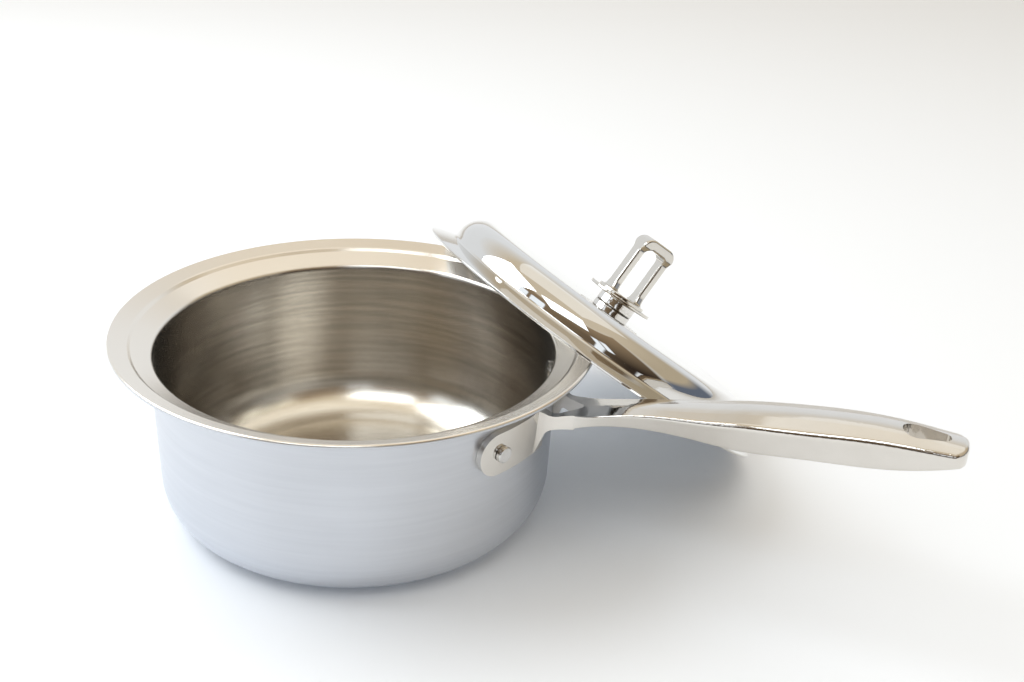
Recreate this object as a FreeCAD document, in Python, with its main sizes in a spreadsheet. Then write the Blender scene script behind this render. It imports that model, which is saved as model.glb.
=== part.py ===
import FreeCAD, Part
import math
import os
import re
import Sketcher
from FreeCAD import Placement, Rotation, Vector

# A three-quart lidded saucepan for popping corn on a hob, modelled in millimetres. The origin is at the
# centre of the pan's base, +Z is up and the long handle runs along +X. The lid stands off the pan: it
# leans on the rim, with the lowest point of its flange on the table.
os.makedirs("parts", exist_ok=True)
doc = FreeCAD.newDocument("StovetopPopper")
sheet = doc.addObject("Spreadsheet::Sheet", "Sizes")

SIZES = {
    # pan: one clad sheet, measured on its inner surface unless the name says otherwise
    "pan_sheet": 2.3,
    "inner_radius": 101.7,  # of the wall, at its top
    "wall_top": 92.0,
    "wall_draft": 1.6,
    "base_corner": 25.0,  # outer radius of the bend from base to wall
    "ledge_width": 10.5,  # of the sloping seat for the lid, in plan
    "ledge_slope": 26.0,
    "riser_rise": 1.8,
    "riser_slope": 48.0,
    "flare_width": 10.5,  # from the end of the seat to the rim
    "flare_slope": 18.0,
    "bend_radius": 1.2,  # hollow side of the bend into the ledge
    "step_bend": 0.9,  # hollow side of the two bends of the riser
    "rim_round": 1.1,
    # handle: ears on the wall, fork, saddle behind it, hanging hole
    "seat_gap": 0.1,  # between the ears and the wall
    "ear_thick": 3.6,
    "ear_half_angle": 32.6,
    "ear_drop": 7.5,  # from the wall's top to the ear's upper edge
    "ear_width": 22.3,
    "ear_end_radius": 11.0,
    "fork_half_width": 25.0,
    "arm_sweep": 17.0,
    "arm_sink": 0.35,  # how far the root block stays behind the ear's face
    "crotch_out": 22.6,  # this one and the next ones reach out from the wall's top
    "crotch_slope": 35.8,
    "crotch_radius": 2.5,
    "saddle_out": 2.8,
    "saddle_dip_out": 8.8,
    "under_out": 6.6,
    "saddle_drop": 13.1,  # and these lie below it
    "under_drop": 20.0,
    "saddle_round": 6.0,
    "under_round": 3.0,
    "grip_out": 198.8,
    "crown_round": 25.0,
    "bow_round": 9.0,
    "nose_radius": 10.0,
    "nose_round": 2.2,
    "nose_run": 6.0,
    "nose_inset": 0.6,
    "hole_out": 175.6,
    "hole_radius": 6.4,
    "hole_run": 11.2,  # from the large end's centre to the small end's
    "hole_end_radius": 4.0,
    # rivets
    "rivet_angle": 25.5,
    "rivet_drop": 18.8,
    "rivet_radius": 3.2,
    "rivet_clearance": 0.05,
    "stub_radius": 4.2,
    "stub_height": 2.3,
    "stub_edge": 0.6,
    "stub_gap": 0.25,  # under a flat face on a curved ear
    "inner_head_radius": 6.5,
    "inner_head_height": 1.7,
    "inner_head_edge": 0.8,
    "head_gap": 0.1,
    # lid: one sheet, measured on its top surface; height zero is the flange's lower edge
    "lid_sheet": 1.5,
    "lid_play": 1.6,  # between its edge and the end of the seat, when it lies there
    "flange_width": 13.1,
    "flange_rise": 4.0,
    "flange_edge": 0.4,
    "dome_lean": 3.0,
    "dome_height": 23.4,
    "crown_rise": 0.9,
    "shoulder_round": 15.0,
    "root_round": 1.6,
    # knob
    "pedestal_radius": 11.5,
    "pedestal_height": 5.6,
    "pedestal_edge": 0.8,
    "foot_radius": 19.8,
    "foot_thick": 1.8,
    "foot_edge": 0.5,
    "boss_radius": 14.8,
    "boss_rise": 1.6,
    "boss_edge": 0.6,
    "leg_foot_round": 1.5,
    "loop_height": 39.4,
    "loop_half_base": 11.3,
    "loop_half_top": 11.2,
    "leg_thick": 4.6,
    "bar_thick": 6.0,
    "loop_corner": 6.0,
    "opening_corner": 3.0,
    "bar_depth": 13.0,
    "leg_depth": 8.6,
    "leg_foot_depth": 11.0,
    "waist_round": 6.0,
    "shoulder_height": 30.0,
    "loop_edge": 1.3,
    "knob_turn": 7.0,
    # screw and washer inside the lid
    "screw_radius": 2.5,
    "screw_reach": 2.6,
    "screw_clearance": 0.3,
    "thread_clearance": 0.05,
    "screw_head_radius": 4.75,
    "screw_head_height": 3.0,
    "screw_head_edge": 0.8,
    "driver_radius": 1.7,
    "driver_depth": 1.6,
    "washer_radius": 8.0,
    "washer_thick": 1.2,
    "stack_gap": 0.02,
    # how the lid leans
    "lean_tilt": 36.45,
    "lean_heading": 43.7,
    "lean_overlap": 29.5,  # how far the lid reaches in over the rim
    "lean_side": 9.5,
    "lean_gap": 0.3,
}

# Stations along the grip. A cross-section has a crowned top between two ridges, leaning sides and a
# bowed underside: how far it reaches out from the wall's top, its half width at the ridges, how high the
# ridges are over the wall's top, the crown's rise, the depth below the ridges, how far its lower corners
# are drawn in and up, and the rounding of its corners. The first one nearly fills the fork's square end.
STATIONS = {
    "neck": (19.3, 10.6, -11.2, 0.3, 7.9, 0.1, 0.5, 0.5),
    "wrist": (38.3, 10.1, -7.4, 0.9, 7.6, 1.0, 1.2, 0.8),
    "throat": (56.3, 10.2, -3.6, 1.8, 10.4, 1.8, 1.8, 1.2),
    "stop": (76.3, 12.1, -0.6, 2.6, 14.4, 3.2, 3.0, 1.8),
    "belly": (98.3, 14.3, 3.1, 3.3, 19.6, 4.6, 4.0, 2.4),
    "palm": (124.3, 15.8, 6.3, 3.8, 20.4, 5.2, 4.2, 2.8),
    "swell": (150.3, 15.4, 8.8, 3.9, 20.4, 5.0, 3.8, 3.0),
    "heel": (176.3, 13.8, 9.2, 3.6, 16.8, 4.2, 3.2, 3.0),
    "tip": (202.3, 11.4, 8.4, 3.0, 7.4, 3.0, 2.0, 2.6),
}
# Sizes that follow from others.
FOLLOWING = {
    "ledge_radius": "inner_radius + ledge_width",
    "rim_radius": "ledge_radius + flare_width",
    "lid_radius": "ledge_radius - lid_play",
    "dome_radius": "lid_radius - flange_width",
    "ear_high": "wall_top - ear_drop",
    "ear_low": "ear_high - ear_width",
    "crotch_reach": "inner_radius + crotch_out",
    "saddle_start": "inner_radius + saddle_out",
    "saddle_dip": "inner_radius + saddle_dip_out",
    "under_reach": "inner_radius + under_out",
    "saddle_top": "wall_top - saddle_drop",
    "under_low": "wall_top - under_drop",
    "grip_end": "inner_radius + grip_out",
    "hole_centre": "inner_radius + hole_out",
    "rivet_height": "wall_top - rivet_drop",
}
PARTS = ("out", "half", "rise", "crown", "depth", "tuck", "lift", "round")
for station, numbers in STATIONS.items():
    for part, number in zip(PARTS, numbers):
        SIZES[f"{station}_{part}"] = number
    FOLLOWING[f"{station}_at"] = f"inner_radius + {station}_out"
    FOLLOWING[f"{station}_ridge"] = f"wall_top + {station}_rise"
    FOLLOWING[f"{station}_low"] = f"{station}_ridge - {station}_depth"

rows = [(alias, str(number)) for alias, number in SIZES.items()]
rows += [(alias, "=" + formula) for alias, formula in FOLLOWING.items()]
for row, (alias, content) in enumerate(rows, start=1):
    sheet.set(f"A{row}", alias.replace("_", " "))
    sheet.setAlias(f"B{row}", alias)
for row, (alias, content) in enumerate(rows, start=1):
    sheet.set(f"B{row}", content)
doc.recompute()


def bound(text):
    """Every alias has an underscore, so this turns a formula of plain names into one on the sheet."""
    return re.sub(r"\b[a-z]+(?:_[a-z]+)+\b", lambda found: "Sizes." + found.group(0), text)


def value(text):
    return float(sheet.evalExpression(bound(text)))


# ---------------------------------------------------------------- helpers for bodies and sketches


def new_body(label):
    body = doc.addObject("PartDesign::Body", label)
    body.Label = label
    return body


def new_sketch(body, name, role="XZ_Plane", lift=None, turn=None):
    """A sketch on one of the body's own planes, lifted off it and turned about its vertical if asked."""
    sketch = body.newObject("Sketcher::SketchObject", name)
    plane = next(item for item in body.Origin.OriginFeatures if item.Role == role)
    sketch.AttachmentSupport = (plane, "")
    sketch.MapMode = "FlatFace"
    if turn is not None:
        axis = Vector(0, 0, 1) if role == "XY_Plane" else Vector(0, 1, 0)
        sketch.AttachmentOffset = Placement(Vector(0, 0, 0), Rotation(axis, value(turn)))
    if lift is not None:
        sketch.setExpression(".AttachmentOffset.Base.z", bound(lift))
    doc.recompute()
    return sketch


def tie(sketch, rules):
    """Adds constraints in one go, each with the formula its number follows, or None."""
    first = sketch.ConstraintCount
    sketch.addConstraint([rule for rule, _ in rules])
    for index, (_, text) in enumerate(rules, start=first):
        if text is not None:
            sketch.setExpression(f"Constraints[{index}]", bound(text))


def hold(axis, geometry, point, text):
    """Rule for one coordinate of a point; a zero puts the point on the axis itself."""
    if text == "0":
        line = -2 if axis == "X" else -1
        return (Sketcher.Constraint("PointOnObject", geometry, point, line), None)
    return (Sketcher.Constraint("Distance" + axis, -1, 1, geometry, point, value(text)), text)


def radius_rule(geometry, text):
    return (Sketcher.Constraint("Radius", geometry, value(text)), text)


def joined(geometry, point, other, other_point, kind="Coincident"):
    return (Sketcher.Constraint(kind, geometry, point, other, other_point), None)


def polygon(sketch, corners):
    """Closed outline of straight lines through corners given as pairs of formulas."""
    points = [Vector(value(x), value(y), 0) for x, y in corners]
    count = len(points)
    sketch.addGeometry([Part.LineSegment(points[i], points[(i + 1) % count]) for i in range(count)], False)
    rules = []
    for index, (x, y) in enumerate(corners):
        rules.append(joined(index, 2, (index + 1) % count, 1))
        rules.append(hold("X", index, 1, x))
        rules.append(hold("Y", index, 1, y))
    tie(sketch, rules)


def rounded(sketch, corners):
    """Closed outline of straight lines with tangent arcs at the corners that carry a radius. Corners are
    (x, y, radius) in formulas, radius None for a sharp one."""
    points = [Vector(value(x), value(y), 0) for x, y, _ in corners]
    count = len(points)
    ends = []
    for index, point in enumerate(points):
        to_last = (points[index - 1] - point).normalize()
        to_next = (points[(index + 1) % count] - point).normalize()
        if corners[index][2] is None:
            ends.append((point, point, point))
            continue
        half = to_last.getAngle(to_next) / 2
        radius = value(corners[index][2])
        reach = radius / math.tan(half)
        inward = (to_last + to_next).normalize()
        middle = point + inward * (radius / math.sin(half) - radius)
        ends.append((point + to_last * reach, middle, point + to_next * reach))
    lines = [Part.LineSegment(ends[i][2], ends[(i + 1) % count][0]) for i in range(count)]
    sketch.addGeometry(lines, False)
    rules = []
    for index, (x, y, radius) in enumerate(corners):
        before = (index - 1) % count
        if radius is None:
            rules.append(joined(before, 2, index, 1))
            rules.append(hold("X", index, 1, x))
            rules.append(hold("Y", index, 1, y))
            continue
        last = points[index - 1]
        onward = points[(index + 1) % count]
        straight = (points[index] - last).cross(onward - points[index]).z > 0
        swept = ends[index] if straight else ends[index][::-1]
        arc = sketch.addGeometry(Part.Arc(*swept), False)
        rules.append(joined(before, 2, arc, 1 if straight else 2, "Tangent"))
        rules.append(joined(index, 1, arc, 2 if straight else 1, "Tangent"))
        rules.append(radius_rule(arc, radius))
        corner = sketch.addGeometry(Part.Point(points[index]), True)
        rules.append((Sketcher.Constraint("PointOnObject", corner, 1, before), None))
        rules.append((Sketcher.Constraint("PointOnObject", corner, 1, index), None))
        rules.append(hold("X", corner, 1, x))
        rules.append(hold("Y", corner, 1, y))
    tie(sketch, rules)


def circle(sketch, x, y, radius):
    centre = Vector(value(x), value(y), 0)
    index = sketch.addGeometry(Part.Circle(centre, Vector(0, 0, 1), value(radius)), False)
    tie(sketch, [hold("X", index, 3, x), hold("Y", index, 3, y), radius_rule(index, radius)])


def mitre(before, corner, after, gap):
    """Corner of a line run at a distance to the right of the run before-corner-after."""
    first = (corner - before).normalize()
    second = (after - corner).normalize()
    right_first = Vector(first.y, -first.x, 0)
    right_second = Vector(second.y, -second.x, 0)
    middle = (right_first + right_second).normalize()
    return corner + middle * (gap / middle.dot(right_first))


def sheet_section(sketch, corners, thickness, crowned=False):
    """Half section of a spun sheet. Its top runs through corners from the axis outwards, in straight
    runs (the first one bows up as an arc square to the axis if crowned); its underside lies at the
    sheet's thickness, parallel to each run. Returns both rows of corners."""
    top = [Vector(value(x), value(y), 0) for x, y in corners]
    gap = value(thickness)
    before = top[0]
    if crowned:
        rise = top[0].y - top[1].y
        centre = Vector(0, top[0].y - (top[1].x ** 2 + rise**2) / (2 * rise), 0)
        out = (top[1] - centre).normalize()
        before = top[1] - Vector(out.y, -out.x, 0)
    under = [mitre(a, b, c, gap) for a, b, c in zip([before] + top[1:], top[1:], top[2:])]
    under.insert(0, top[0] - Vector(0, gap, 0))
    last = (top[-1] - top[-2]).normalize()
    under.append(top[-1] + Vector(last.y, -last.x, 0) * gap)
    runs = len(top) - 1
    for row in (top, under):
        for index in range(runs):
            line = Part.LineSegment(row[index], row[index + 1])
            if crowned and index == 0:
                radius = (row[0] - centre).Length
                middle = centre + ((row[0] + row[1]) / 2 - centre).normalize() * radius
                line = Part.Arc(row[1], middle, row[0])
            sketch.addGeometry(line, False)
    first_out = 1 if crowned else 2
    first_in = 2 if crowned else 1
    axis_side = sketch.addGeometry(Part.LineSegment(top[0], under[0]), False)
    edge_side = sketch.addGeometry(Part.LineSegment(top[-1], under[-1]), False)
    rules = []
    for start in (0, runs):
        rules.append(joined(start, first_out, start + 1, 1))
        for index in range(start + 1, start + runs - 1):
            rules.append(joined(index, 2, index + 1, 1))
    rules.append(joined(0, first_in, axis_side, 1))
    rules.append(joined(runs, first_in, axis_side, 2))
    rules.append(joined(runs - 1, 2, edge_side, 1))
    rules.append(joined(2 * runs - 1, 2, edge_side, 2))
    for index in range(runs):
        if crowned and index == 0:
            rules.append(joined(0, 3, runs, 3))
            rules.append((Sketcher.Constraint("PointOnObject", 0, 3, -2), None))
            rules.append((Sketcher.Constraint("Distance", axis_side, gap), thickness))
            continue
        rules.append((Sketcher.Constraint("Parallel", index, runs + index), None))
        rules.append((Sketcher.Constraint("Distance", runs + index, 1, index, gap), thickness))
    rules.append((Sketcher.Constraint("PointOnObject", runs, first_in, -2), None))
    rules.append((Sketcher.Constraint("Perpendicular", runs - 1, edge_side), None))
    for index, (x, y) in enumerate(corners[:-1]):
        rules.append(hold("X", index, first_in if index == 0 else 1, x))
        rules.append(hold("Y", index, first_in if index == 0 else 1, y))
    rules.append(hold("X", runs - 1, 2, corners[-1][0]))
    rules.append(hold("Y", runs - 1, 2, corners[-1][1]))
    tie(sketch, rules)
    return top, under


def spin(body, sketch, name, kind="Revolution", sweep="360", axis="V_Axis"):
    turned = body.newObject("PartDesign::" + kind, name)
    turned.Profile = sketch
    turned.ReferenceAxis = (sketch, [axis])
    turned.setExpression("Angle", bound(sweep))
    turned.Midplane = sweep != "360"
    doc.recompute()
    return turned


def pad(body, sketch, name, length, midplane=False):
    grown = body.newObject("PartDesign::Pad", name)
    grown.Profile = sketch
    grown.Midplane = midplane
    grown.setExpression("Length", bound(length))
    doc.recompute()
    return grown


def pocket(body, sketch, name, length=None, midplane=False, reverse=False):
    before = body.Tip.Shape.Volume
    cut = body.newObject("PartDesign::Pocket", name)
    cut.Profile = sketch
    cut.Midplane = midplane
    cut.Reversed = reverse
    if length is None:
        cut.Type = 1
    else:
        cut.setExpression("Length", bound(length))
    doc.recompute()
    if cut.Shape.Volume >= before - 1e-6:
        raise RuntimeError(f"{body.Label}: {name} cuts nothing")
    return cut


def fillet(body, name, radius, chosen):
    """Rounds the edges of the body for which chosen(edge) is true."""
    base = body.Tip
    names = [f"Edge{i}" for i, edge in enumerate(base.Shape.Edges, start=1) if chosen(edge)]
    if not names:
        raise RuntimeError(f"{body.Label}: {name} finds no edge")
    rounded = body.newObject("PartDesign::Fillet", name)
    rounded.Base = (base, names)
    rounded.setExpression("Radius", bound(radius))
    doc.recompute()
    return rounded


def ring_at(*points):
    """Picks full circles about the local Z axis that pass through the given (radius, height) points."""

    def chosen(edge):
        if edge.Degenerated or not isinstance(edge.Curve, Part.Circle):
            return False
        centre = edge.Curve.Center
        if math.hypot(centre.x, centre.y) > 1e-3:
            return False
        return any(abs(edge.Curve.Radius - p.x) + abs(centre.z - p.y) < 0.02 for p in points)

    return chosen


# ---------------------------------------------------------------- pan

LEDGE_TOP = "(wall_top + (ledge_radius - inner_radius) * tan(ledge_slope))"
RISER_RADIUS = "(ledge_radius + riser_rise / tan(riser_slope))"
RISER_TOP = f"({LEDGE_TOP} + riser_rise)"
RIM_TOP = f"({RISER_TOP} + (rim_radius - {RISER_RADIUS}) * tan(flare_slope))"
INNER_FLOOR = "(inner_radius - (wall_top - pan_sheet) * tan(wall_draft))"


def outer_radius(height):
    """Radius of the wall's outer surface at a height, as a formula."""
    return f"(inner_radius - (wall_top - ({height})) * tan(wall_draft) + pan_sheet / cos(wall_draft))"


def rivet_holes(body, radius):
    """Two holes through one wall, square to it in plan, one for each ear."""
    for side, turn in (("rear", "rivet_angle"), ("front", "-rivet_angle")):
        sketch = new_sketch(body, f"{body.Label}_{side}_hole_sketch", "YZ_Plane", turn=turn)
        circle(sketch, "0", "rivet_height", radius)
        pocket(body, sketch, f"{body.Label}_{side}_hole", reverse=True)


def make_pan():
    body = new_body("pan_body")
    section = new_sketch(body, "pan_section")
    corners = [
        ("0", "pan_sheet"),
        (INNER_FLOOR, "pan_sheet"),
        ("inner_radius", "wall_top"),
        ("ledge_radius", LEDGE_TOP),
        (RISER_RADIUS, RISER_TOP),
        ("rim_radius", RIM_TOP),
    ]
    top, under = sheet_section(section, corners, "pan_sheet")
    spin(body, section, "drawn_sheet")
    fillet(body, "base_corner_inside", "base_corner - pan_sheet", ring_at(top[1]))
    fillet(body, "base_corner_outside", "base_corner", ring_at(under[1]))
    fillet(body, "ledge_bend_top", "bend_radius + pan_sheet", ring_at(top[2]))
    fillet(body, "ledge_bend_under", "bend_radius", ring_at(under[2]))
    fillet(body, "riser_foot_top", "step_bend", ring_at(top[3]))
    fillet(body, "riser_foot_under", "step_bend + pan_sheet / 2", ring_at(under[3]))
    fillet(body, "riser_head_top", "step_bend + pan_sheet / 2", ring_at(top[4]))
    fillet(body, "riser_head_under", "step_bend", ring_at(under[4]))
    fillet(body, "rim_edge", "rim_round", ring_at(top[5], under[5]))
    rivet_holes(body, "rivet_radius + rivet_clearance")
    return body


# ---------------------------------------------------------------- handle


def grip_section(body, station):
    sketch = new_sketch(body, f"grip_{station}", "YZ_Plane", lift=f"{station}_at")
    low_height = f"{station}_low + {station}_lift"
    low_half = f"({station}_half - {station}_tuck)"
    turn = f"{station}_round"
    rounded(
        sketch,
        [
            (f"{station}_half", f"{station}_ridge", turn),
            ("0", f"{station}_ridge + {station}_crown", "crown_round"),
            (f"-{station}_half", f"{station}_ridge", turn),
            (f"-{low_half}", low_height, turn),
            ("0", f"{station}_low", "bow_round"),
            (low_half, low_height, turn),
        ],
    )
    return sketch


def make_handle():
    body = new_body("long_handle")

    # the root of the handle: a block with the fork's sweep in plan and a saddle in side view
    fork = new_sketch(body, "fork_plan", "XY_Plane", lift="ear_low")
    face = f"({outer_radius('ear_high - ear_width / 2')} + seat_gap + ear_thick - arm_sink)"
    turn = f"asin((neck_half + arm_sweep) / ({face} + arm_sweep))"
    sweep_x = f"(({face} - neck_half * sin({turn})) / cos({turn}))"
    outer_x = f"(({face} - fork_half_width * sin({turn})) / cos({turn}))"
    rounded(
        fork,
        [
            ("inner_radius - ear_thick", "-fork_half_width", None),
            (outer_x, "-fork_half_width", None),
            (sweep_x, "-neck_half", "arm_sweep"),
            ("neck_at", "-neck_half", None),
            ("neck_at", "neck_half", None),
            (sweep_x, "neck_half", "arm_sweep"),
            (outer_x, "fork_half_width", None),
            ("inner_radius - ear_thick", "fork_half_width", None),
        ],
    )
    pad(body, fork, "root_block", "ear_high - ear_low")
    upper = new_sketch(body, "saddle_side")
    rounded(
        upper,
        [
            ("saddle_start", "ear_high + 1", None),
            ("saddle_dip", "saddle_top", "saddle_round"),
            ("neck_at", "neck_ridge", None),
            ("neck_at + 1", "ear_high + 1", None),
        ],
    )
    pocket(body, upper, "saddle_cut", midplane=True)
    lower = new_sketch(body, "throat_side")
    rounded(
        lower,
        [
            ("saddle_start", "ear_low - 1", None),
            ("neck_at + 1", "ear_low - 1", None),
            ("neck_at", "neck_low", None),
            ("under_reach", "under_low", "under_round"),
        ],
    )
    pocket(body, lower, "throat_cut", midplane=True)

    # the grip
    sections = [grip_section(body, station) for station in STATIONS]
    grip = body.newObject("PartDesign::AdditiveLoft", "grip")
    grip.Profile = sections[0]
    grip.Sections = sections[1:]
    grip.Ruled = False
    doc.recompute()

    # ears that follow the wall, round at their ends
    ears = new_sketch(body, "ear_section")
    seat_low = f"({outer_radius('ear_low')} + seat_gap)"
    seat_high = f"({outer_radius('ear_high')} + seat_gap)"
    polygon(
        ears,
        [
            (seat_low, "ear_low"),
            (f"{seat_low} + ear_thick", "ear_low"),
            (f"{seat_high} + ear_thick", "ear_high"),
            (seat_high, "ear_high"),
        ],
    )
    spin(body, ears, "ears", sweep="2 * ear_half_angle")
    seat = new_sketch(body, "seat_section")
    polygon(
        seat,
        [
            ("inner_radius / 2", "ear_low - 1"),
            (f"({outer_radius('ear_low - 1')} + seat_gap)", "ear_low - 1"),
            (f"({outer_radius('ear_high + 1')} + seat_gap)", "ear_high + 1"),
            ("inner_radius / 2", "ear_high + 1"),
        ],
    )
    spin(body, seat, "seat", kind="Groove")
    far = value("inner_radius") * math.cos(math.radians(value("ear_half_angle"))) + value("ear_thick")

    def ear_corner(edge):
        box = edge.BoundBox
        flat = box.ZLength < 0.3 and edge.Length < 1.3 * value("ear_thick")
        return flat and box.XMin < far and abs(box.YMax + box.YMin) / 2 > value("fork_half_width")

    fillet(body, "ear_ends", "ear_end_radius", ear_corner)

    # the open crotch of the fork, the blunt nose and the hole to hang it by
    crotch = new_sketch(body, "crotch_plan", "XY_Plane", lift="ear_low - 1")
    mouth = "(crotch_reach - inner_radius + ear_thick) * tan(crotch_slope)"
    rounded(
        crotch,
        [
            ("inner_radius - ear_thick", f"-{mouth}", None),
            ("crotch_reach", "0", "crotch_radius"),
            ("inner_radius - ear_thick", mouth, None),
        ],
    )
    pocket(body, crotch, "crotch", reverse=True)
    nose = new_sketch(body, "nose_plan", "XY_Plane", lift="ear_high + 1")
    rounded(
        nose,
        [
            ("heel_at + nose_run", "-heel_half", None),
            ("grip_end", "nose_inset - tip_half", "nose_radius"),
            ("grip_end", "tip_half - nose_inset", "nose_radius"),
            ("heel_at + nose_run", "heel_half", None),
            ("heel_at + nose_run", "2 * heel_half", None),
            ("tip_at + 1", "2 * heel_half", None),
            ("tip_at + 1", "-2 * heel_half", None),
            ("heel_at + nose_run", "-2 * heel_half", None),
        ],
    )
    pocket(body, nose, "nose", midplane=True)
    hole = new_sketch(body, "hanging_hole_plan", "XY_Plane", lift="ear_low")
    teardrop(hole, "hole_centre", "hole_radius", "hole_run", "hole_end_radius")
    pocket(body, hole, "hanging_hole", reverse=True)

    def nose_outline(edge):
        middle = edge.BoundBox.Center
        level = edge.BoundBox.ZLength < value("tip_depth")
        at_side = abs(middle.y) > value("tip_half") / 2
        at_end = middle.x > value("grip_end") - 1
        return level and middle.x > value("(heel_at + tip_at) / 2") and (at_side or at_end)

    fillet(body, "nose_edges", "nose_round", nose_outline)
    rivet_holes(body, "rivet_radius + rivet_clearance")
    return body


def teardrop(sketch, x, big, run, small):
    """Two arcs of different radius on the sketch's horizontal axis, joined by tangent lines."""
    lean = math.asin((value(big) - value(small)) / value(run))
    ends = []
    for centre, radius in ((value(x), value(big)), (value(x) + value(run), value(small))):
        for sign in (1, -1):
            ends.append(Vector(centre + radius * math.sin(lean), sign * radius * math.cos(lean), 0))
    back = Vector(value(x) - value(big), 0, 0)
    front = Vector(value(x) + value(run) + value(small), 0, 0)
    sketch.addGeometry(Part.Arc(ends[0], back, ends[1]), False)
    sketch.addGeometry(Part.LineSegment(ends[1], ends[3]), False)
    sketch.addGeometry(Part.Arc(ends[3], front, ends[2]), False)
    sketch.addGeometry(Part.LineSegment(ends[2], ends[0]), False)
    rules = [joined(first, 2, (first + 1) % 4, 1, "Tangent") for first in range(4)]
    rules.append(hold("X", 0, 3, x))
    rules.append(hold("Y", 0, 3, "0"))
    rules.append(hold("X", 2, 3, f"{x} + {run}"))
    rules.append(hold("Y", 2, 3, "0"))
    rules.append(radius_rule(0, big))
    rules.append(radius_rule(2, small))
    tie(sketch, rules)


# ---------------------------------------------------------------- rivets

WALL_AT_RIVET = outer_radius("rivet_height")
INNER_WALL = f"({WALL_AT_RIVET} - pan_sheet / cos(wall_draft))"
STUB_FACE = f"({WALL_AT_RIVET} + seat_gap + ear_thick + stub_gap)"


def make_rivets():
    """Two solid rivets: a low round head inside the pan, bedded on its wall, and a set stub outside."""
    body = new_body("handle_rivets")
    body.AllowCompound = True
    turns = (("rear", "rivet_angle"), ("front", "-rivet_angle"))
    for side, turn in turns:
        head = new_sketch(body, f"{side}_head_section", "XY_Plane", lift="rivet_height", turn=turn)
        start = f"{INNER_WALL} - inner_head_height"
        edge = "inner_head_edge"
        polygon(
            head,
            [
                (start, "0"),
                (start, f"inner_head_radius - 2 * {edge}"),
                (f"{start} + {edge}", "inner_head_radius"),
                (f"{INNER_WALL} + 1", "inner_head_radius"),
                (f"{INNER_WALL} + 1", "0"),
            ],
        )
        spin(body, head, f"{side}_head", axis="H_Axis")
    bed = new_sketch(body, "bed_section")
    low = "rivet_height - inner_head_radius - 1"
    high = "rivet_height + inner_head_radius + 1"
    inside = "(pan_sheet / cos(wall_draft) + head_gap)"
    polygon(
        bed,
        [
            (f"{outer_radius(low)} - {inside}", low),
            ("rim_radius", low),
            ("rim_radius", high),
            (f"{outer_radius(high)} - {inside}", high),
        ],
    )
    spin(body, bed, "bed", kind="Groove")
    for side, turn in turns:
        shank = new_sketch(body, f"{side}_shank_section", "XY_Plane", lift="rivet_height", turn=turn)
        end = f"{STUB_FACE} + stub_height"
        polygon(
            shank,
            [
                (f"{INNER_WALL} - inner_head_height / 2", "0"),
                (f"{INNER_WALL} - inner_head_height / 2", "rivet_radius"),
                (STUB_FACE, "rivet_radius"),
                (STUB_FACE, "stub_radius"),
                (f"{end} - stub_edge", "stub_radius"),
                (end, "stub_radius - stub_edge"),
                (end, "0"),
            ],
        )
        spin(body, shank, f"{side}_shank", axis="H_Axis")
    return body


# ---------------------------------------------------------------- lid

LID_STACK = "(dome_height + stack_gap)"
FOOT_LOW = f"({LID_STACK} + pedestal_height + stack_gap)"
FOOT_TOP = f"({FOOT_LOW} + foot_thick)"
BOSS_TOP = f"({FOOT_TOP} + boss_rise)"
LOOP_TOP = f"({FOOT_LOW} + loop_height)"
FOOT_WALL = "(dome_radius - (dome_height - crown_rise - flange_rise) * tan(dome_lean))"


def lean(turn=0.0):
    """Where the lid's own frame sits when it leans on the pan with its flange on the table."""
    heading = math.radians(value("lean_heading"))
    tilt = value("lean_tilt")
    reach = value(f"rim_radius + {RIM_TOP} / tan(lean_tilt) - lid_radius * cos(lean_tilt) - lean_overlap")
    side = value("lean_side")
    height = value("lid_radius") * math.sin(math.radians(tilt)) + value("lean_gap")
    place = Vector(
        reach * math.cos(heading) - side * math.sin(heading),
        reach * math.sin(heading) + side * math.cos(heading),
        height,
    )
    about_z = Rotation(Vector(0, 0, 1), value("lean_heading"))
    about_y = Rotation(Vector(0, 1, 0), tilt)
    return Placement(place, about_z * about_y * Rotation(Vector(0, 0, 1), turn))


def make_lid():
    body = new_body("lid_shell")
    section = new_sketch(body, "lid_section")
    edge_slope = "(flange_rise / (lid_radius - dome_radius))"
    corners = [
        ("0", "dome_height"),
        (FOOT_WALL, "dome_height - crown_rise"),
        ("dome_radius", "flange_rise + lid_sheet"),
        ("lid_radius", f"lid_sheet * cos(atan({edge_slope}))"),
    ]
    top, under = sheet_section(section, corners, "lid_sheet", crowned=True)
    spin(body, section, "pressed_sheet")
    fillet(body, "shoulder_top", "shoulder_round", ring_at(top[1]))
    fillet(body, "shoulder_under", "shoulder_round - lid_sheet", ring_at(under[1]))
    fillet(body, "root_top", "root_round", ring_at(top[2]))
    fillet(body, "root_under", "root_round + lid_sheet", ring_at(under[2]))
    fillet(body, "flange_lip", "flange_edge", ring_at(top[3], under[3]))
    hole = new_sketch(body, "lid_hole_sketch", "XY_Plane")
    circle(hole, "0", "0", "screw_radius + screw_clearance")
    pocket(body, hole, "lid_hole", reverse=True)
    body.Placement = lean()
    return body


def make_pedestal():
    body = new_body("knob_pedestal")
    ring = new_sketch(body, "pedestal_section")
    polygon(
        ring,
        [
            ("screw_radius + screw_clearance", LID_STACK),
            ("pedestal_radius", LID_STACK),
            ("pedestal_radius", f"{LID_STACK} + pedestal_height"),
            ("screw_radius + screw_clearance", f"{LID_STACK} + pedestal_height"),
        ],
    )
    spin(body, ring, "turned_ring")
    low = value(LID_STACK)
    outer = value("pedestal_radius")
    edges = ring_at(Vector(outer, low, 0), Vector(outer, low + value("pedestal_height"), 0))
    fillet(body, "pedestal_edges", "pedestal_edge", edges)
    body.Placement = lean()
    return body


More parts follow.
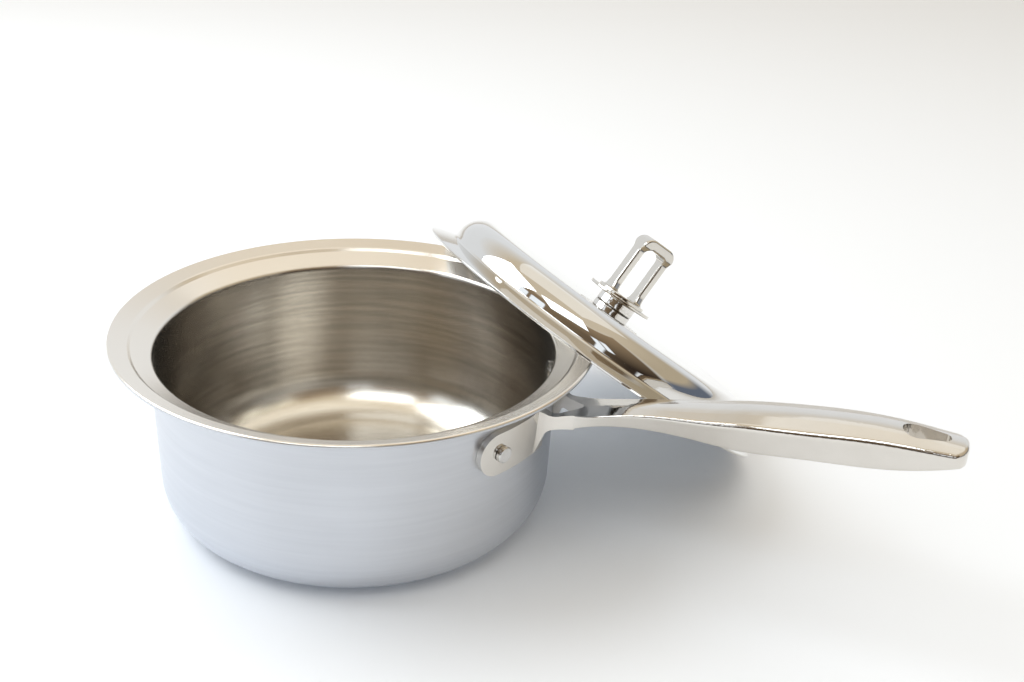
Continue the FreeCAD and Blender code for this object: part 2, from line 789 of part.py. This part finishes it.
def make_knob():
    body = new_body("knob_loop")
    foot = new_sketch(body, "foot_section")
    polygon(
        foot,
        [
            ("0", FOOT_LOW),
            ("foot_radius", FOOT_LOW),
            ("foot_radius", FOOT_TOP),
            ("boss_radius", FOOT_TOP),
            ("boss_radius", BOSS_TOP),
            ("0", BOSS_TOP),
        ],
    )
    spin(body, foot, "foot_plate")

    bow = new_sketch(body, "bow_front")
    base = f"{BOSS_TOP} - boss_rise / 2"
    rounded(
        bow,
        [
            ("-loop_half_base", base, None),
            ("loop_half_base", base, None),
            ("loop_half_top", LOOP_TOP, "loop_corner"),
            ("-loop_half_top", LOOP_TOP, "loop_corner"),
        ],
    )
    pad(body, bow, "bow", "bar_depth", midplane=True)
    gap = new_sketch(body, "gap_front")
    rounded(
        gap,
        [
            ("leg_thick - loop_half_base", BOSS_TOP, None),
            ("loop_half_base - leg_thick", BOSS_TOP, None),
            ("loop_half_top - leg_thick", f"{LOOP_TOP} - bar_thick", "opening_corner"),
            ("leg_thick - loop_half_top", f"{LOOP_TOP} - bar_thick", "opening_corner"),
        ],
    )
    pocket(body, gap, "gap", midplane=True)
    for side, sign in (("left", ""), ("right", "-")):
        waist = new_sketch(body, f"waist_{side}", "YZ_Plane")
        rounded(
            waist,
            [
                (f"{sign}(leg_foot_depth / 2)", BOSS_TOP, None),
                (f"{sign}(leg_depth / 2)", f"{BOSS_TOP} + boss_rise * 3", "waist_round"),
                (f"{sign}(leg_depth / 2)", f"{FOOT_LOW} + shoulder_height", "waist_round"),
                (f"{sign}(bar_depth / 2)", f"{LOOP_TOP} - bar_thick", "opening_corner"),
                (f"{sign}(bar_depth / 2)", f"{LOOP_TOP} + 1", None),
                (f"{sign}bar_depth", f"{LOOP_TOP} + 1", None),
                (f"{sign}bar_depth", BOSS_TOP, None),
            ],
        )
        pocket(body, waist, f"waist_cut_{side}", midplane=True)
    boss_top = value(BOSS_TOP)

    def on_loop(edge):
        box = edge.BoundBox
        return not edge.Degenerated and box.ZMin > boss_top - 0.01 and box.ZMax > boss_top + 0.1

    def at_leg_foot(edge):
        box = edge.BoundBox
        flat = box.ZLength < 0.01 and abs(box.ZMin - boss_top) < 0.01
        inside = max(abs(box.XMin), abs(box.XMax), abs(box.YMin), abs(box.YMax)) < value("loop_half_base") + 0.1
        return flat and inside

    fillet(body, "loop_edges", "loop_edge", on_loop)
    fillet(body, "leg_feet", "leg_foot_round", at_leg_foot)
    plate = value("foot_radius")
    edges = ring_at(Vector(plate, value(FOOT_LOW), 0), Vector(plate, value(FOOT_TOP), 0))
    fillet(body, "foot_edges", "foot_edge", edges)
    fillet(body, "boss_edges", "boss_edge", ring_at(Vector(value("boss_radius"), boss_top, 0)))
    socket = new_sketch(body, "socket_sketch", "XY_Plane", lift=FOOT_LOW)
    circle(socket, "0", "0", "screw_radius + thread_clearance")
    pocket(body, socket, "socket", length="screw_reach + 3 * stack_gap", reverse=True)
    body.Placement = lean(-value("knob_turn"))
    return body


def make_screw():
    body = new_body("knob_screw")
    seat = "(dome_height - lid_sheet - washer_thick - 2 * stack_gap)"
    section = new_sketch(body, "screw_section")
    polygon(
        section,
        [
            ("0", f"{seat} - screw_head_height"),
            ("screw_head_radius - 2 * screw_head_edge", f"{seat} - screw_head_height"),
            ("screw_head_radius", f"{seat} - screw_head_height + screw_head_edge"),
            ("screw_head_radius", seat),
            ("screw_radius", seat),
            ("screw_radius", f"{FOOT_LOW} + screw_reach"),
            ("0", f"{FOOT_LOW} + screw_reach"),
        ],
    )
    spin(body, section, "screw_blank")
    drive = new_sketch(body, "drive_sketch", "XY_Plane", lift=f"{seat} - screw_head_height")
    corners = [
        (f"driver_radius * cos({60 * index})", f"driver_radius * sin({60 * index})") for index in range(6)
    ]
    polygon(drive, corners)
    pocket(body, drive, "drive", length="driver_depth", reverse=True)
    body.Placement = lean()
    return body


def make_washer():
    body = new_body("knob_washer")
    section = new_sketch(body, "washer_section")
    top = "(dome_height - lid_sheet - stack_gap)"
    polygon(
        section,
        [
            ("screw_radius + screw_clearance", f"{top} - washer_thick"),
            ("washer_radius", f"{top} - washer_thick"),
            ("washer_radius", top),
            ("screw_radius + screw_clearance", top),
        ],
    )
    spin(body, section, "washer")
    body.Placement = lean()
    return body


bodies = [
    make_pan(),
    make_handle(),
    make_rivets(),
    make_lid(),
    make_pedestal(),
    make_knob(),
    make_screw(),
    make_washer(),
]

doc.recompute()
for item in doc.Objects:
    if "Invalid" in item.State or "Error" in item.State:
        raise RuntimeError(f"{item.Name} is {item.State}")
for body in bodies:
    if body.Shape.isNull() or not body.Shape.isValid():
        raise RuntimeError(f"{body.Label} has no valid shape")
    body.Shape.exportStep(f"parts/{body.Label}.step")
    print(body.Label, len(body.Shape.Solids), round(body.Shape.Volume, 1), body.Shape.BoundBox)
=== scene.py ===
import math

import bpy
from mathutils import Matrix, Vector


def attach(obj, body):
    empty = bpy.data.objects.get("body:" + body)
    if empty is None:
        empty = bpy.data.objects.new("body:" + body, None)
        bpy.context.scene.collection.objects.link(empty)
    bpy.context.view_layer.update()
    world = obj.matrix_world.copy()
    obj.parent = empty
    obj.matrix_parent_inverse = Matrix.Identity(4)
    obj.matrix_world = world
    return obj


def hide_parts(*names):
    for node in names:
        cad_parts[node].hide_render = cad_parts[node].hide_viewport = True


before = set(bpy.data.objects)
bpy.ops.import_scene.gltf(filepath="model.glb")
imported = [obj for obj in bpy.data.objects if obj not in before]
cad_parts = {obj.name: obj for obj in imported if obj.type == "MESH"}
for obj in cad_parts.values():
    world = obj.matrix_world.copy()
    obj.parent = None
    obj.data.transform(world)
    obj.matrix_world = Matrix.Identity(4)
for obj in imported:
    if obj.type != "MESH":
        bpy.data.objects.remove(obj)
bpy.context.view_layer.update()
scene = bpy.context.scene
scene.view_settings.view_transform = "Standard"


# ---------------------------------------------------------------- node helpers


class Nodes:
    """A short way to write a node tree: most methods add a node and return its output."""

    def __init__(self, tree):
        self.tree = tree

    def add(self, kind, **settings):
        node = self.tree.nodes.new(kind)
        for name, setting in settings.items():
            setattr(node, name, setting)
        return node

    def put(self, socket, what):
        """Links an output to a socket, or sets the socket to a constant; None leaves it as it is."""
        if isinstance(what, bpy.types.NodeSocket):
            self.tree.links.new(what, socket)
        elif what is not None:
            socket.default_value = what

    def fill(self, node, **sockets):
        for name, what in sockets.items():
            self.put(node.inputs[name.replace("_", " ")], what)

    def math(self, operation, a, b=None):
        node = self.add("ShaderNodeMath", operation=operation)
        self.put(node.inputs[0], a)
        self.put(node.inputs[1], b)
        return node.outputs[0]

    def vector(self, operation, a, b=None):
        node = self.add("ShaderNodeVectorMath", operation=operation)
        self.put(node.inputs[0], a)
        self.put(node.inputs[1], b)
        return node.outputs["Vector"]

    def split(self, vector):
        node = self.add("ShaderNodeSeparateXYZ")
        self.put(node.inputs[0], vector)
        return node.outputs

    def join(self, x, y, z):
        node = self.add("ShaderNodeCombineXYZ")
        for socket, what in zip(node.inputs, (x, y, z)):
            self.put(socket, what)
        return node.outputs[0]

    def noise(self, vector, scale, detail, roughness):
        node = self.add("ShaderNodeTexNoise")
        self.fill(node, Vector=vector, Scale=scale, Detail=detail, Roughness=roughness)
        return node.outputs["Fac"]

    def spread(self, value, low, high):
        """Maps a value from low..high to 0..1, held at the ends."""
        node = self.add("ShaderNodeMapRange", clamp=True)
        self.fill(node, From_Min=low, From_Max=high, Value=value)
        return node.outputs["Result"]

    def mix(self, share, a, b):
        node = self.add("ShaderNodeMix", data_type="RGBA")
        self.fill(node, Factor=share, A=a, B=b)
        return node.outputs["Result"]

    def blend(self, share, a, b):
        node = self.add("ShaderNodeMix", data_type="FLOAT")
        self.fill(node, Factor=share, A=a, B=b)
        return node.outputs["Result"]

    def bump(self, height, strength, distance):
        node = self.add("ShaderNodeBump")
        self.fill(node, Height=height, Strength=strength, Distance=distance)
        return node.outputs["Normal"]


# ---------------------------------------------------------------- materials

RIM_HEIGHTS = (0.0905, 0.0925)  # metres: the ledge's and rim's finish and painted highlight begin between these
FLOOR_HEIGHTS = (0.03, 0.012)  # and the floor's finish and painted light between these
LINE_STRETCH = 0.004  # how slowly the brushed lines change along their length
LINE_DEPTH = 0.0002
WAVE_DEPTH = 0.004


def rgb(red, green, blue):
    return (red, green, blue, 1.0)


def metal(name):
    """A new metal and its node helper, shader and place in the object's own space."""
    material = bpy.data.materials.new(name)
    material.use_nodes = True
    nodes = Nodes(material.node_tree)
    shader = material.node_tree.nodes["Principled BSDF"]
    shader.inputs["Metallic"].default_value = 1.0
    place = nodes.add("ShaderNodeTexCoord").outputs["Object"]
    return material, nodes, shader, place


def brushed_pan():
    """Clad sheet: brushed round the wall, turned rings on the floor, and a brighter ledge and rim; the
    brightness of the floor and of the up-facing ledge and rim is painted light, and the darker, browner
    inside is painted shade.
    """
    material, n, shader, place = metal("pan_steel")
    x, y, z = n.split(place)
    radius = n.math("SQRT", n.math("ADD", n.math("MULTIPLY", x, x), n.math("MULTIPLY", y, y)))
    facing = n.split(n.add("ShaderNodeNewGeometry").outputs["Normal"])
    outwards = n.math("ADD", n.math("MULTIPLY", x, facing[0]), n.math("MULTIPLY", y, facing[1]))
    # inside marks the inner wall: it sets the inside's roughness and its painted shade
    inside = n.spread(n.math("DIVIDE", outwards, radius), 0.15, -0.15)
    # rim marks the up-facing ledge and rim: it sets their finish and their painted highlight
    rim = n.math("MULTIPLY", n.spread(z, *RIM_HEIGHTS), n.spread(facing[2], 0.2, 0.6))
    # floor marks the up-facing floor: it sets its finish and its painted light
    floor = n.math("MULTIPLY", n.spread(facing[2], 0.25, 0.65), n.spread(z, *FLOOR_HEIGHTS))

    direction = n.join(n.math("DIVIDE", x, radius), n.math("DIVIDE", y, radius), 0.0)
    along = n.vector("SCALE", direction)
    along.node.inputs["Scale"].default_value = LINE_STRETCH

    def lines_across(way, scale, detail, roughness):
        return n.noise(n.vector("ADD", along, n.join(0.0, 0.0, way)), scale, detail, roughness)

    wall_lines = lines_across(z, 2600.0, 4.0, 0.62)
    rings = lines_across(radius, 2400.0, 4.0, 0.62)
    coarse = lines_across(n.math("ADD", z, radius), 420.0, 2.0, 0.5)
    cloud = n.noise(place, 24.0, 3.0, 0.55)
    lines = n.blend(n.spread(facing[2], 0.4, 0.8), wall_lines, rings)

    outer = n.mix(n.spread(coarse, 0.3, 0.7), rgb(0.63, 0.65, 0.69), rgb(0.66, 0.68, 0.72))
    # painted shade: the inside gets a darker, browner colour than the outside, standing in for the shade and
    # warm reflections inside the pan
    inner = n.mix(n.spread(coarse, 0.3, 0.7), rgb(0.42, 0.395, 0.36), rgb(0.53, 0.495, 0.45))
    # painted light: the floor gets a bright beige; the turned rings in it are grain
    lit_ringed_floor = n.mix(n.spread(lines, 0.3, 0.7), rgb(0.88, 0.83, 0.73), rgb(0.95, 0.91, 0.83))
    colour = n.mix(inside, outer, inner)
    colour = n.mix(floor, colour, lit_ringed_floor)
    # painted highlight: the up-facing ledge and rim get a brighter colour
    colour = n.mix(rim, colour, rgb(0.86, 0.81, 0.74))
    n.put(shader.inputs["Base Color"], colour)
    rough = n.blend(inside, 0.34, 0.24)
    rough = n.blend(floor, rough, 0.24)
    rough = n.blend(rim, rough, 0.25)
    rough = n.math("ADD", rough, n.math("MULTIPLY", n.math("SUBTRACT", cloud, 0.5), 0.10))
    n.put(shader.inputs["Roughness"], rough)
    shader.inputs["Anisotropic"].default_value = 0.75
    shader.inputs["Anisotropic Rotation"].default_value = 0.25
    tangent = n.add("ShaderNodeTangent", direction_type="RADIAL", axis="Z").outputs[0]
    n.put(shader.inputs["Tangent"], tangent)
    n.put(shader.inputs["Normal"], n.bump(lines, n.blend(rim, 0.10, 0.02), LINE_DEPTH))
    return material


def polished(name, colour, dark, rough, ripple, scale):
    """Polished steel: faint waves left by the polishing wheel, hair scratches and handling haze."""
    material, n, shader, place = metal(name)
    haze = n.noise(place, 38.0, 4.0, 0.6)
    hairs = n.noise(n.vector("MULTIPLY", place, (3.0, 90.0, 90.0)), 22.0, 3.0, 0.7)
    waves = n.noise(place, scale, 2.0, 0.45)
    scratched = n.math("MULTIPLY", n.spread(hairs, 0.5, 0.8), 0.05)
    n.put(shader.inputs["Base Color"], n.mix(n.spread(haze, 0.25, 0.75), dark, colour))
    n.put(shader.inputs["Roughness"], n.math("ADD", rough, scratched))
    n.put(shader.inputs["Normal"], n.bump(waves, ripple, WAVE_DEPTH))
    return material


# For each polished node: the material's name, its colour, its colour where it is hazy, its roughness, and
# the strength and fineness of its waves.
POLISHED = {
    "lid_shell": ("lid_steel", (0.76, 0.75, 0.73), (0.72, 0.71, 0.69), 0.035, 0.012, 18.0),
    "long_handle": ("handle_steel", (0.76, 0.73, 0.685), (0.70, 0.67, 0.625), 0.10, 0.06, 40.0),
    "handle_rivets": ("rivet_steel", (0.72, 0.71, 0.69), (0.62, 0.61, 0.60), 0.22, 0.15, 300.0),
    "knob_loop": ("knob_steel", (0.74, 0.71, 0.66), (0.66, 0.63, 0.58), 0.06, 0.06, 90.0),
    "knob_pedestal": ("pedestal_steel", (0.82, 0.80, 0.77), (0.74, 0.72, 0.69), 0.08, 0.08, 160.0),
    "knob_screw": ("screw_steel", (0.62, 0.62, 0.62), (0.52, 0.52, 0.52), 0.25, 0.1, 300.0),
    "knob_washer": ("washer_steel", (0.66, 0.66, 0.66), (0.56, 0.56, 0.56), 0.28, 0.1, 300.0),
}
MATERIALS = {"pan_body": brushed_pan()}
for node, (name, colour, dark, *finish) in POLISHED.items():
    MATERIALS[node] = polished(name, rgb(*colour), rgb(*dark), *finish)
for node, material in MATERIALS.items():
    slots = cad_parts[node].data.materials
    slots.clear()
    slots.append(material)


# ---------------------------------------------------------------- spun sheets, in millimetres

PAN_SHEET = 2.3
INNER_RADIUS = 101.7
WALL_TOP = 92.0
WALL_DRAFT = math.radians(1.6)
BASE_CORNER = 25.0
LEDGE_WIDTH = 10.5
LEDGE_RADIUS = 112.2
LEDGE_SLOPE = math.radians(26.0)
RISER_RISE = 1.8
RISER_SLOPE = math.radians(48.0)
RIM_RADIUS = 122.7
FLARE_SLOPE = math.radians(18.0)
BEND_RADIUS = 1.2
STEP_BEND = 0.9
RIM_ROUND = 1.1
PAN_BORE = 0.3  # the section stops this short of the axis, which leaves a pinhole in the floor's centre
PAN_SIDES = 288

LID_SHEET = 1.5
LID_RADIUS = 110.6
FLANGE_WIDTH = 13.1
FLANGE_RISE = 4.0
FLANGE_EDGE = 0.4
DOME_RADIUS = 97.5
DOME_HEIGHT = 23.4
DOME_LEAN = math.radians(3.0)
CROWN_RISE = 0.9
SHOULDER_ROUND = 15.0
ROOT_ROUND = 1.6
LID_BORE = 2.8  # the screw's hole
LID_SIDES = 360
LID_HEADING = math.radians(43.7)
LID_TILT = math.radians(36.45)
LID_PLACE = (0.096149, 0.105022, 0.066010)  # metres

MILLIMETRE = 0.001
ARC_STEP = math.radians(2.0)
CROWN_STEP = 8  # between the rings of the lid's crown, which ends at twice that before its shoulder


def unit(vector):
    return vector / vector.length


def mitre(before, corner, after, gap):
    """Corner of a line run at a distance to the right of the run before-corner-after."""
    first = unit(corner - before)
    second = unit(after - corner)
    middle = unit(Vector((first.y + second.y, -first.x - second.x)))
    return corner + middle * (gap / middle.dot(Vector((first.y, -first.x))))


def rounded_run(corners, radii):
    """Points with their normals (to the left) along straight runs whose inner corners are rounded."""
    run = []
    for index, corner in enumerate(corners):
        if index in (0, len(corners) - 1):
            way = unit(corners[1] - corner if index == 0 else corner - corners[-2])
            run.append((corner, Vector((-way.y, way.x))))
            continue
        radius = radii[index - 1]
        first = unit(corner - corners[index - 1])
        second = unit(corners[index + 1] - corner)
        turn = math.atan2(first.cross(second), first.dot(second))
        cut = radius * math.tan(abs(turn) / 2)
        side = Vector((-first.y, first.x))
        centre = corner - first * cut + side * math.copysign(radius, turn)
        count = max(3, math.ceil(abs(turn) / ARC_STEP))
        for step in range(count + 1):
            normal = side.copy()
            normal.rotate(Matrix.Rotation(turn * step / count, 2))
            run.append((centre - normal * math.copysign(radius, turn), normal))
    return run


def spun(name, run, sides, place):
    """A closed surface of revolution, given the run of its section, with exact normals."""
    vertices = []
    normals = []
    faces = []
    turn = place.to_3x3()
    for point, normal in run:
        for side in range(sides):
            angle = 2.0 * math.pi * side / sides
            across = Vector((math.cos(angle), math.sin(angle), 0.0))
            vertices.append(place @ (MILLIMETRE * (across * point.x + Vector((0.0, 0.0, point.y)))))
            normals.append((turn @ (across * normal.x + Vector((0.0, 0.0, normal.y)))).normalized())
    for ring in range(len(run)):
        here = ring * sides
        there = (ring + 1) % len(run) * sides
        for side in range(sides):
            after = (side + 1) % sides
            faces.append((here + side, there + side, there + after, here + after))
    mesh = bpy.data.meshes.new(name)
    mesh.from_pydata(vertices, [], faces)
    mesh.polygons.foreach_set("use_smooth", [True] * len(faces))
    mesh.normals_split_custom_set_from_vertices(normals)
    piece = bpy.data.objects.new(name, mesh)
    scene.collection.objects.link(piece)
    return piece


def sheet_run(corners, thickness, radii_top, radii_under, edge, bore, crowned=False):
    """Section of a spun sheet whose top runs through corners from near the axis outwards. If crowned, the
    first run bows up as an arc about a centre on the axis."""
    top = [Vector(corner) for corner in corners]
    before = top[0]
    if crowned:
        rise = top[0].y - top[1].y
        reach = (top[1].x ** 2 + rise**2) / (2.0 * rise)
        out = unit(top[1] - Vector((0.0, top[0].y - reach)))
        before = top[1] - Vector((out.y, -out.x)) * top[1].x
    under = [mitre(a, b, c, thickness) for a, b, c in zip([before] + top[1:], top[1:], top[2:])]
    last = unit(top[-1] - top[-2])
    under.append(top[-1] + Vector((last.y, -last.x)) * thickness)
    first_top = Vector((bore, before.y + (top[1].y - before.y) * bore / top[1].x))
    first_under = Vector((bore, under[0].y + (first_top.y - top[1].y)))
    whole = [first_top] + top[1:] + under[::-1] + [first_under]
    run = rounded_run(whole, radii_top + [edge, edge] + radii_under[::-1])
    if crowned:
        rings = [bore, *range(CROWN_STEP, int(top[1].x) - 2 * CROWN_STEP, CROWN_STEP)]

        def arc(level, sign):
            points = []
            for x in rings:
                drop = reach - math.sqrt(reach**2 - x**2)
                normal = Vector((x / reach, math.sqrt(1.0 - (x / reach) ** 2))) * sign
                points.append((Vector((x, level - drop)), normal))
            return points

        run[0:1] = arc(top[0].y, 1.0)
        run[-1:] = arc(top[0].y - thickness, -1.0)[::-1]
    return run


def make_pan():
    floor_reach = INNER_RADIUS - (WALL_TOP - PAN_SHEET) * math.tan(WALL_DRAFT)
    seat_top = WALL_TOP + LEDGE_WIDTH * math.tan(LEDGE_SLOPE)
    riser_reach = LEDGE_RADIUS + RISER_RISE / math.tan(RISER_SLOPE)
    rim_top = seat_top + RISER_RISE + (RIM_RADIUS - riser_reach) * math.tan(FLARE_SLOPE)
    corners = [
        (0.0, PAN_SHEET),
        (floor_reach, PAN_SHEET),
        (INNER_RADIUS, WALL_TOP),
        (LEDGE_RADIUS, seat_top),
        (riser_reach, seat_top + RISER_RISE),
        (RIM_RADIUS, rim_top),
    ]
    wide_step = STEP_BEND + PAN_SHEET / 2
    radii_top = [BASE_CORNER - PAN_SHEET, BEND_RADIUS + PAN_SHEET, STEP_BEND, wide_step]
    radii_under = [BASE_CORNER, BEND_RADIUS, wide_step, STEP_BEND]
    run = sheet_run(corners, PAN_SHEET, radii_top, radii_under, RIM_ROUND, PAN_BORE)
    pan = spun("pan_sheet", run, PAN_SIDES, Matrix.Identity(4))
    pan.data.materials.append(MATERIALS["pan_body"])
    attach(pan, "pan")
    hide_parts("pan_body")


def lean():
    """Where the lid's own frame sits: tilted away from the pan, its flange just over the table."""
    turn = Matrix.Rotation(LID_HEADING, 4, "Z") @ Matrix.Rotation(LID_TILT, 4, "Y")
    return Matrix.Translation(LID_PLACE) @ turn


def make_lid():
    wall_reach = DOME_RADIUS - (DOME_HEIGHT - CROWN_RISE - FLANGE_RISE) * math.tan(DOME_LEAN)
    corners = [
        (0.0, DOME_HEIGHT),
        (wall_reach, DOME_HEIGHT - CROWN_RISE),
        (DOME_RADIUS, FLANGE_RISE + LID_SHEET),
        (LID_RADIUS, LID_SHEET * math.cos(math.atan(FLANGE_RISE / FLANGE_WIDTH))),
    ]
    radii_top = [SHOULDER_ROUND, ROOT_ROUND]
    radii_under = [SHOULDER_ROUND - LID_SHEET, ROOT_ROUND + LID_SHEET]
    run = sheet_run(corners, LID_SHEET, radii_top, radii_under, FLANGE_EDGE, LID_BORE, crowned=True)
    lid = spun("lid_sheet", run, LID_SIDES, lean())
    lid.data.materials.append(MATERIALS["lid_shell"])
    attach(lid, "lid")
    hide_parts("lid_shell")


make_pan()
make_lid()


# ---------------------------------------------------------------- camera

PITCH = math.radians(25.466)
ROLL = math.radians(3.034)
HANDLE_TURN = math.radians(18.0)
EYE = Vector((0.2560, -0.5305, 0.3746))
LENS = 44.24
SENSOR_WIDTH = 36.0


def make_camera():
    forward = Vector((0.0, math.cos(PITCH), -math.sin(PITCH)))
    up = Vector((0.0, math.sin(PITCH), math.cos(PITCH)))
    right = Vector((1.0, 0.0, 0.0))
    level_right = math.cos(ROLL) * right + math.sin(ROLL) * up
    level_up = -math.sin(ROLL) * right + math.cos(ROLL) * up
    turned = Matrix((level_right, level_up, -forward)).transposed()
    data = bpy.data.cameras.new("view")
    data.lens = LENS
    data.sensor_width = SENSOR_WIDTH
    camera = bpy.data.objects.new("view", data)
    aim = (Matrix.Rotation(HANDLE_TURN, 3, "Z") @ turned).to_4x4()
    camera.matrix_world = Matrix.Translation(EYE) @ aim
    scene.collection.objects.link(camera)
    scene.camera = camera


make_camera()


# ---------------------------------------------------------------- floor, world and lamps

FLOOR_HALF = 40.0
FLOOR_DROP = 0.0002  # keeps the floor clear of the pan's base
FLOOR_LIFT = 0.07

# Angles of the room are in radians as seen from the object, bearings about the way to the camera.
DARK_SIDE = math.radians(-72.0)  # the way from the object to the camera
DARK_WALL = (-1.45, 1.0)
DARK_WALL_HEIGHTS = (0.035, 0.915)
DULL_SIDE = (1.0, 2.2)
DULL_SIDE_TURNS = (0.14, 0.26)  # the heights between which it goes from floor to wall
CEILING_BEGINS = (0.45, 1.0)
WINDOWS = (  # on the dark wall: left and right edge, lower and upper edge
    (-1.38, -1.10, 0.16, 0.70),
    (-1.04, -0.78, 0.16, 0.70),
    (-0.02, 0.10, 0.30, 0.55),
    (0.13, 0.25, 0.30, 0.55),
)
WORLD_STRENGTH = 0.84


def make_floor():
    """A pale floor: lit as any floor is, and lifted a little where the camera, a mirror or glass sees it."""
    mesh = bpy.data.meshes.new("floor")
    corners = [(-1, -1), (1, -1), (1, 1), (-1, 1)]
    mesh.from_pydata([(x * FLOOR_HALF, y * FLOOR_HALF, 0) for x, y in corners], [], [(0, 1, 2, 3)])
    floor = bpy.data.objects.new("floor", mesh)
    floor.location.z = -FLOOR_DROP
    scene.collection.objects.link(floor)
    material = bpy.data.materials.new("pale_floor")
    material.use_nodes = True
    n = Nodes(material.node_tree)
    shader = material.node_tree.nodes["Principled BSDF"]
    shader.inputs["Base Color"].default_value = rgb(0.92, 0.93, 0.95)
    shader.inputs["Roughness"].default_value = 0.7
    shader.inputs["Specular IOR Level"].default_value = 0.1
    shader.inputs["Emission Color"].default_value = rgb(0.70, 0.85, 1.0)
    path = n.add("ShaderNodeLightPath").outputs
    seen = n.math("MAXIMUM", path["Is Camera Ray"], path["Is Glossy Ray"])
    seen = n.math("MAXIMUM", seen, path["Is Transmission Ray"])
    n.put(shader.inputs["Emission Strength"], n.math("MULTIPLY", seen, FLOOR_LIFT))
    mesh.materials.append(material)


def make_world():
    """A room: white behind and to the left, a warm ceiling, a dull right side, and behind the camera a
    dark wall with windows, over a pale foot."""
    world = bpy.data.worlds.new("studio")
    world.use_nodes = True
    scene.world = world
    n = Nodes(world.node_tree)
    background = world.node_tree.nodes["Background"]
    x, y, z = n.split(n.add("ShaderNodeTexCoord").outputs["Generated"])
    cosine = math.cos(DARK_SIDE)
    sine = math.sin(DARK_SIDE)
    ahead = n.math("ADD", n.math("MULTIPLY", x, cosine), n.math("MULTIPLY", y, sine))
    aside = n.math("SUBTRACT", n.math("MULTIPLY", y, cosine), n.math("MULTIPLY", x, sine))
    bearing = n.math("ARCTAN2", aside, ahead)
    height = n.math("ARCSINE", z)

    def between(value, low, high, soft):
        rises = n.spread(value, low - soft, low + soft)
        return n.math("MULTIPLY", rises, n.spread(value, high + soft, high - soft))

    dark = n.math(
        "MULTIPLY", between(bearing, *DARK_WALL, 0.05), between(height, *DARK_WALL_HEIGHTS, 0.01)
    )
    dull = between(bearing, *DULL_SIDE, 0.15)
    wall = n.mix(n.spread(height, 0.1, 0.9), rgb(0.05, 0.035, 0.025), rgb(0.40, 0.29, 0.18))
    shade = n.mix(n.spread(height, *DULL_SIDE_TURNS), rgb(0.18, 0.21, 0.27), rgb(0.66, 0.56, 0.40))
    colour = n.mix(dull, rgb(1.06, 1.09, 1.12), shade)
    colour = n.mix(n.spread(height, *CEILING_BEGINS), colour, rgb(0.86, 0.74, 0.56))
    colour = n.mix(dark, colour, wall)
    for left, right, bottom, top in WINDOWS:
        pane = n.math("MULTIPLY", between(bearing, left, right, 0.01), between(height, bottom, top, 0.01))
        colour = n.mix(pane, colour, rgb(1.35, 1.44, 1.53))
    n.put(background.inputs["Color"], colour)
    background.inputs["Strength"].default_value = WORLD_STRENGTH


def lamp(name, at, towards, width, height, power, colour):
    data = bpy.data.lights.new(name, "AREA")
    data.shape = "RECTANGLE"
    data.size = width
    data.size_y = height
    data.energy = power
    data.color = colour
    light = bpy.data.objects.new(name, data)
    light.location = at
    light.rotation_euler = (Vector(towards) - Vector(at)).to_track_quat("-Z", "Y").to_euler()
    scene.collection.objects.link(light)


make_floor()
make_world()
lamp("key", (-1.1, -0.2, 1.3), (0.0, 0.0, 0.05), 1.2, 1.2, 19.5, (0.84, 0.92, 1.0))
lamp("top", (0.3, 0.6, 1.8), (0.05, 0.05, 0.0), 1.6, 1.6, 3.0, (0.80, 0.90, 1.0))
lamp("front", (0.10, -1.30, 1.90), (0.05, -0.15, 0.0), 1.3, 0.9, 9.0, (0.80, 0.90, 1.0))
